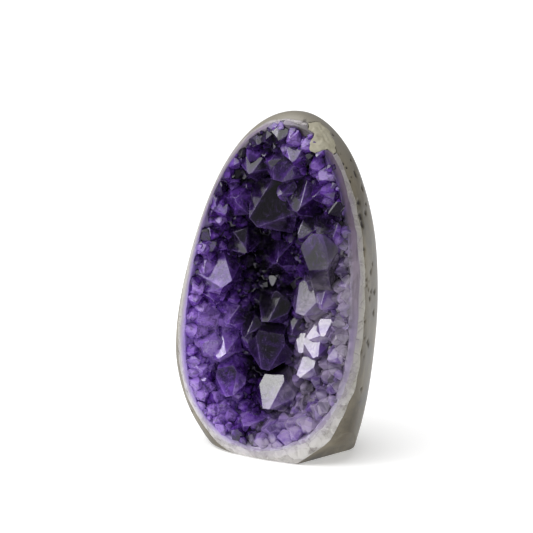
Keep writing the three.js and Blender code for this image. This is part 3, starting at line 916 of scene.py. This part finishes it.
def crystal_mesh(name, node, tone, fill, rng):
    """One whole crystal, its edges worn round, with fields for its finish to follow. Each of its
    faces has a tone a little off the crystal's own."""
    tone_spread = 0.42
    planes, apex, way, width = whole_crystal(node, fill)
    bm = solid_behind(planes)
    sharp = [e for e in bm.edges if e.is_manifold and e.calc_face_angle(0) > math.radians(14)]
    bmesh.ops.bevel(bm, geom=sharp, offset=0.03 * width, segments=2, profile=0.6,
                    affect="EDGES", clamp_overlap=True)
    split_long_edges(bm, 0.9 * MM)
    mesh = mesh_of(bm, name)
    move_points(mesh, points_of(mesh) - AXIS)
    grind_flush(mesh)
    points = points_of(mesh)
    set_attribute(mesh, "ground", behind_face(points) < 4 * FLUSH)
    points += AXIS
    facing = np.array([n for n, _ in planes])
    distance = np.array([d for _, d in planes])
    behind = np.sort(distance - points @ facing.T, axis=1)
    set_attribute(mesh, "edge_away", behind[:, 1] / MM)
    set_attribute(mesh, "tip_away", (way @ apex - points @ way) / width)
    normals = np.empty(len(mesh.polygons) * 3, np.float32)
    mesh.polygons.foreach_get("normal", normals)
    plane = np.argmax(normals.reshape(-1, 3) @ facing.T, axis=1)
    tones = tone + rng.uniform(-tone_spread, tone_spread, len(planes))
    set_attribute(mesh, "tone", np.clip(tones, 0, 1)[plane], "FACE")
    return mesh


def make_crystals(material):
    rng = np.random.default_rng(17)
    for name in sorted(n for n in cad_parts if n.startswith("crystal_")):
        number = int(name[-2:])
        known = [tone for tone, numbers in TONES.items() if number in numbers]
        tone = known[0] if known else rng.uniform(0.05, 0.6)
        fill = FILL * SLENDER.get(number, 1.0)
        mesh = crystal_mesh(name + "_cut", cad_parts[name], tone, fill, rng)
        settle(name + "_whole", mesh, material, "amethyst", name)


# ---- The small druse ---------------------------------------------------------------------------

def point_shape(name, growth):
    """A six-sided point whose sides reach about a millimetre, with its faces grown unevenly."""
    apex, root, uneven = 1.9, 0.8, 0.12
    planes = []
    for i, share in enumerate(growth):
        turn = math.pi / 3 * i
        out = np.array([math.cos(turn), math.sin(turn), 0])
        tilted = out * TIP_SIN + np.array([0, 0, TIP_COS])
        setback = uneven * share if i % 2 else 0.0
        planes += [(out, share), (tilted, tilted[2] * apex - setback)]
    planes.append((np.array([0, 0, -1.0]), root))
    mesh = mesh_of(solid_behind([(n, d * MM) for n, d in planes]), name)
    points = points_of(mesh)
    set_attribute(mesh, "tip_away", (points[:, 2].max() - points[:, 2]) / MM)
    return new_object(name, mesh)


def druse_tree(name, material):
    """Points spread over a surface, a leaning crystal on each, and a tone for each crystal."""
    tree = bpy.data.node_groups.new(name, "GeometryNodeTree")
    sockets = tree.interface
    sockets.new_socket("Geometry", in_out="INPUT", socket_type="NodeSocketGeometry")
    for label, kind in (("Shape", "Object"), ("Spacing", "Float"), ("Least", "Float"),
                        ("Most", "Float"), ("Lean", "Float"), ("Seed", "Int")):
        sockets.new_socket(label, in_out="INPUT", socket_type="NodeSocket" + kind)
    sockets.new_socket("Geometry", in_out="OUTPUT", socket_type="NodeSocketGeometry")
    inlet = tree.nodes.new("NodeGroupInput")
    given = {s.name: Value(tree, s) for s in inlet.outputs if s.name}

    def node(kind, settings=None, inputs=(), output=0):
        return add_node(tree, kind, settings, inputs, output)

    def random(kind, least, most, seed_step):
        first, output = (0, 0) if kind == "FLOAT_VECTOR" else (2, 1)
        return node("FunctionNodeRandomValue", {"data_type": kind},
                    {first: least, first + 1: most, "Seed": given["Seed"] + seed_step}, output)

    room = node("GeometryNodeInputNamedAttribute", {"data_type": "FLOAT"}, {"Name": "room"})
    spread = node("GeometryNodeDistributePointsOnFaces", {"distribute_method": "POISSON"},
                  {"Mesh": given["Geometry"], "Distance Min": given["Spacing"],
                   "Density Max": 4e6, "Density Factor": room, "Seed": given["Seed"]}, "Points")
    normal = Value(tree, spread.socket.node.outputs["Normal"])
    lean = random("FLOAT_VECTOR", (-1.0, -1.0, -1.0), (1.0, 1.0, 1.0), 1)
    lean = node("ShaderNodeVectorMath", {"operation": "SCALE"}, {0: lean, "Scale": given["Lean"]})
    way = node("ShaderNodeVectorMath", {"operation": "ADD"}, [normal, lean])
    # All of them turn a little towards the hollow's mouth.
    way = node("ShaderNodeVectorMath", {"operation": "ADD"}, [way, (0.0, -0.55, 0.12)])
    aim = node("FunctionNodeAlignRotationToVector", {"axis": "Z"}, {"Vector": way})
    spin = random("FLOAT", 0.0, 2 * math.pi, 2)
    turn = node("ShaderNodeCombineXYZ", None, {"Z": spin})
    twist = node("FunctionNodeEulerToRotation", None, [turn])
    aim = node("FunctionNodeRotateRotation", {"rotation_space": "LOCAL"}, [aim, twist])
    size = random("FLOAT", given["Least"], given["Most"], 3)
    # Near the ground face there is less room, and they are smaller.
    room_here = node("ShaderNodeMath", {"operation": "MULTIPLY_ADD"}, [room, 0.3, 0.7])
    shape = node("GeometryNodeObjectInfo", None, {"Object": given["Shape"]}, "Geometry")
    points = node("GeometryNodeInstanceOnPoints", None,
                  {"Points": spread, "Instance": shape, "Rotation": aim,
                   "Scale": size * room_here})
    tone = random("FLOAT", 0.1, 0.9, 4)
    toned = node("GeometryNodeStoreNamedAttribute", {"data_type": "FLOAT", "domain": "INSTANCE"},
                 {"Geometry": points, "Name": "tone", "Value": tone})
    real = node("GeometryNodeRealizeInstances", None, [toned])
    dressed = node("GeometryNodeSetMaterial", None, {"Geometry": real, "Material": material})
    outlet = tree.nodes.new("NodeGroupOutput")
    tree.links.new(dressed.socket, outlet.inputs["Geometry"])
    return tree


def hollow_wall(deepest):
    """The hollow's own wall inside the stone, as far back from the ground face as is asked."""
    mesh = bowl_mesh("hollow_wall", OPEN_HOLLOW, grow=0.2 * MM, around=110, levels=54)
    room = behind_face(points_of(mesh))
    bm = bmesh.new()
    bm.from_mesh(mesh)
    bm.verts.ensure_lookup_table()
    spare = [bm.verts[i] for i in np.flatnonzero((room < 0.2 * MM) | (room > deepest))]
    bmesh.ops.delete(bm, geom=spare, context="VERTS")
    bmesh.ops.reverse_faces(bm, faces=bm.faces)
    bm.to_mesh(mesh)
    bm.free()
    room = behind_face(points_of(mesh))
    set_attribute(mesh, "room", np.clip(room / (4 * MM), 0.35, 1))
    return mesh


def make_druse(material):
    for name, druse in DRUSES.items():
        shape = point_shape(name + "_shape", druse["growth"])
        tree = druse_tree(name + "_tree", material)
        sown = new_object(name + "_wall", hollow_wall(druse["deepest"]))
        grow = sown.modifiers.new("druse", "NODES")
        grow.node_group = tree
        values = {"Shape": shape, **druse}
        for item in tree.interface.items_tree:
            if item.in_out == "INPUT" and item.name in values:
                grow[item.identifier] = values[item.name]
        bpy.context.view_layer.update()
        graph = bpy.context.evaluated_depsgraph_get()
        mesh = bpy.data.meshes.new_from_object(sown.evaluated_get(graph))
        for thing in (sown, shape):
            bpy.data.objects.remove(thing)
        grind_flush(mesh)
        settle(name, mesh, material, "amethyst_bed")


# ---- The room ----------------------------------------------------------------------------------

def floor_finish():
    """Pale, and glowing a little, so that the floor runs into the white of the room."""
    f = Finish("pale_floor")
    return f.surface(Base_Color=(0.8, 0.8, 0.8), Roughness=0.8, Emission_Color=(1.0, 1.0, 1.0),
                     Emission_Strength=0.4)


def make_floor():
    drop = 0.1 * MM
    bm = bmesh.new()
    bmesh.ops.create_circle(bm, cap_ends=True, segments=64, radius=4.0)
    bmesh.ops.translate(bm, verts=bm.verts, vec=(0, 0, -drop))
    mesh = mesh_of(bm, "floor")
    mesh.materials.append(floor_finish())
    new_object("floor", mesh)


def aim_at(thing, place, target):
    thing.location = place
    way = Vector(target) - Vector(place)
    thing.rotation_euler = way.to_track_quat("-Z", "Y").to_euler()


def make_light(name, way, distance, size, power):
    light = bpy.data.lights.new(name, "AREA")
    light.shape = "DISK"
    light.size = size
    light.energy = power
    middle = Vector((0, 0, HEIGHT / 2))
    aim_at(new_object(name, light), Vector(way).normalized() * distance + middle, middle)


def make_room():
    """An even white room: a broad light from high above, and a small softbox in front of a
    large one at the upper left, which the crystals' faces mirror."""
    upper_left = (-0.6, -0.5, 0.63)
    make_floor()
    sun = bpy.data.lights.new("high_window", "SUN")
    sun.energy = 2.2
    sun.angle = math.radians(60)
    aim_at(new_object("high_window", sun), (-0.2, -0.16, 1.0), (0, 0, 0))
    make_light("softbox", upper_left, 0.75, 0.26, 1.5)
    make_light("softbox_edge", upper_left, 0.85, 0.85, 1.9)
    world = bpy.data.worlds.new("white_room")
    world.use_nodes = True
    tree = world.node_tree
    tree.nodes.clear()
    seen = add_node(tree, "ShaderNodeLightPath", output="Is Camera Ray")
    sky = add_node(tree, "ShaderNodeBackground", None,
                   {"Color": (1.0, 1.0, 1.0), "Strength": seen * 0.75 + 0.3})
    add_node(tree, "ShaderNodeOutputWorld", None, [sky])
    bpy.context.scene.world = world
    bpy.context.scene.view_settings.view_transform = "Standard"


def make_camera():
    lens = bpy.data.cameras.new("camera")
    lens.lens = 85
    lens.sensor_width = 36
    lens.clip_start = 0.01
    back = Vector((math.sin(CAMERA_TURN) * math.cos(CAMERA_RISE),
                   -math.cos(CAMERA_TURN) * math.cos(CAMERA_RISE), math.sin(CAMERA_RISE)))
    camera = new_object("camera", lens)
    aim_at(camera, Vector(CAMERA_AIM) + back * CAMERA_DISTANCE, CAMERA_AIM)
    bpy.context.scene.camera = camera


make_camera()
make_room()
make_layers()
make_crust()
amethyst = crystal_finish()
make_crystals(amethyst)
make_druse(druse_finish())
